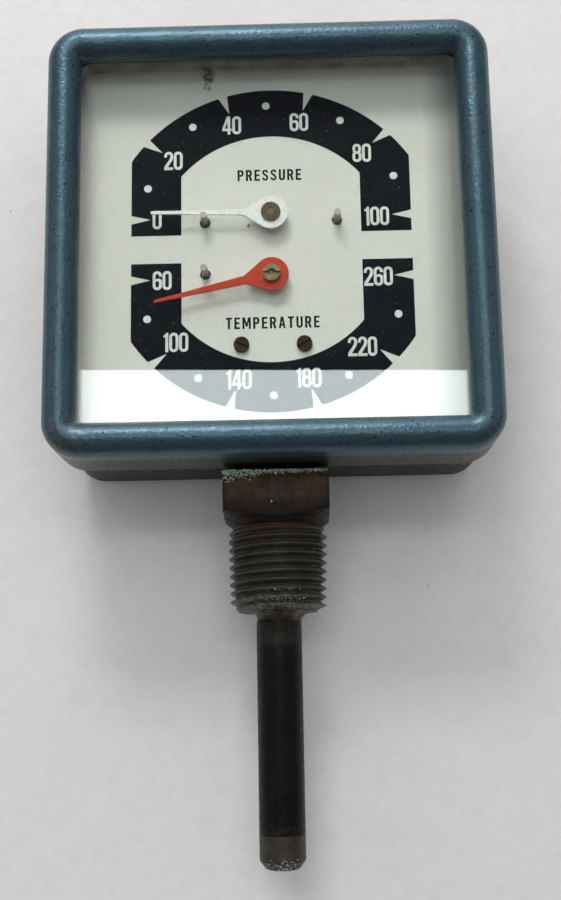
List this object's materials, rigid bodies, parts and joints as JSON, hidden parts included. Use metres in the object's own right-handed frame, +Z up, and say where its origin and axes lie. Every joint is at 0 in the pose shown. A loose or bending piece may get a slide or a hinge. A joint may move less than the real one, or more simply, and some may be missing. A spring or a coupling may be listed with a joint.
{
  "type": "combined pressure and temperature gauge",
  "caption": "Square-cased boiler gauge with separate pressure and temperature pointers on one dial, a bottom taper-thread socket and a straight temperature bulb.",
  "frame": {"origin": "on the pipe-thread axis, at the shoulder where the thread meets the square wrench block", "axes": "+Z up along the thread axis towards the case, -Y towards the viewer of the dial, +X to the viewer's right"},
  "size_m": [0.0932, 0.0443, 0.1749],
  "materials": {
    "case_paint": "semi-gloss dark grey paint, dusty",
    "bezel_paint": "blue hammertone enamel, rubbed on its ridges",
    "glass": "plain flat window glass",
    "gasket_rubber": "matt black",
    "dial_paint": "satin off-white enamel with dark printed scales",
    "brown_screw": "brown, tarnished",
    "brass": "machined",
    "plated_steel": "dull plating",
    "bronze": "dark brown-grey patina on machined bronze",
    "dark_bulb": "near-black oxide film on drawn tube",
    "bulb_tip": "brown-black patina",
    "spring_bronze": "drawn, spring hard",
    "white_pointer": "white enamel",
    "red_pointer": "red enamel"
  },
  "bodies": {
    "gauge": {"case": "case_paint", "bezel": "bezel_paint", "window_glass": "glass", "glass_gasket": "gasket_rubber", "dial": "dial_paint", "dial_screws": "brown_screw", "dial_posts": "brass", "pressure_stop_pins": "plated_steel", "temperature_stop_pin": "plated_steel", "socket": "bronze", "case_back_screws": "plated_steel", "braze_collar": "bronze", "bulb": "dark_bulb", "bulb_plug": "bulb_tip", "capillary": "brass", "movement_front_plate": "brass", "movement_back_plate": "brass", "movement_pillars": "brass", "movement_nuts": "plated_steel", "movement_screws": "plated_steel", "pressure_hairspring": "spring_bronze", "pressure_tube": "spring_bronze", "temperature_hairspring": "spring_bronze", "temperature_tube": "spring_bronze"},
    "pressure_hand": {"pressure_pointer": "white_pointer", "pressure_pointer_bush": "brown_screw", "pressure_pinion": "brass"},
    "pressure_quadrant": {"pressure_sector": "brass"},
    "pressure_linkage": {"pressure_link": "plated_steel", "pressure_link_pin": "plated_steel"},
    "pressure_tube_end": {"pressure_tube_tip": "brass"},
    "temperature_hand": {"temperature_pointer": "red_pointer", "temperature_pinion": "brass"},
    "temperature_adjuster": {"temperature_adjusting_screw": "brass"},
    "temperature_quadrant": {"temperature_sector": "brass"},
    "temperature_linkage": {"temperature_link": "plated_steel", "temperature_link_pin": "plated_steel"},
    "temperature_tube_end": {"temperature_tube_tip": "brass"}
  },
  "joints": [
    {"name": "pressure_pointer_turn", "type": "hinge", "parent": "gauge", "child": "pressure_hand", "pos_m": [0, 0, 0.064], "axis": [0, 1, 0], "range_deg": [0, 178]},
    {"name": "pressure_sector_turn", "type": "hinge", "parent": "gauge", "child": "pressure_quadrant", "pos_m": [0.01198, 0, 0.05223], "axis": [0, -1, 0], "range_deg": [0, 24.2]},
    {"name": "pressure_link_turn", "type": "hinge", "parent": "pressure_quadrant", "child": "pressure_linkage", "pos_m": [0.01978, 0, 0.04772], "axis": [0, -1, 0], "range_deg": [-21.4, 0]},
    {"name": "pressure_tube_flex", "type": "hinge", "parent": "gauge", "child": "pressure_tube_end", "pos_m": [-0.008, 0, 0.06573], "axis": [0, -1, 0], "range_deg": [0, 6.86], "stiffness_Nm_per_rad": 0.02, "deforming": ["pressure_tube"]},
    {"name": "temperature_pointer_turn", "type": "hinge", "parent": "gauge", "child": "temperature_hand", "pos_m": [0, 0, 0.0504], "axis": [0, -1, 0], "range_deg": [-11.2, 168]},
    {"name": "temperature_adjuster_turn", "type": "hinge", "parent": "temperature_hand", "child": "temperature_adjuster", "pos_m": [0, 0, 0.0504], "axis": [0, -1, 0], "range_deg": [-180, 180]},
    {"name": "temperature_sector_turn", "type": "hinge", "parent": "gauge", "child": "temperature_quadrant", "pos_m": [-0.01198, 0, 0.03862], "axis": [0, 1, 0], "range_deg": [-1.6, 22.9]},
    {"name": "temperature_link_turn", "type": "hinge", "parent": "temperature_quadrant", "child": "temperature_linkage", "pos_m": [-0.01978, 0, 0.03413], "axis": [0, 1, 0], "range_deg": [-28.1, 2.1]},
    {"name": "temperature_tube_flex", "type": "hinge", "parent": "gauge", "child": "temperature_tube_end", "pos_m": [0.00542, 0, 0.06504], "axis": [0, 1, 0], "range_deg": [-0.41, 6.25], "stiffness_Nm_per_rad": 0.02, "deforming": ["temperature_tube"]}
  ],
  "couplings": [
    {"joint": "pressure_pointer_turn", "follows": "pressure_tube_flex", "ratio": 25.952},
    {"joint": "pressure_sector_turn", "follows": "pressure_tube_flex", "ratio": 3.507},
    {"joint": "pressure_link_turn", "follows": "pressure_tube_flex", "ratio": -3.0844},
    {"joint": "temperature_pointer_turn", "follows": "temperature_tube_flex", "ratio": 26.875},
    {"joint": "temperature_sector_turn", "follows": "temperature_tube_flex", "ratio": 3.6317},
    {"joint": "temperature_link_turn", "follows": "temperature_tube_flex", "ratio": -4.4611}
  ]
}
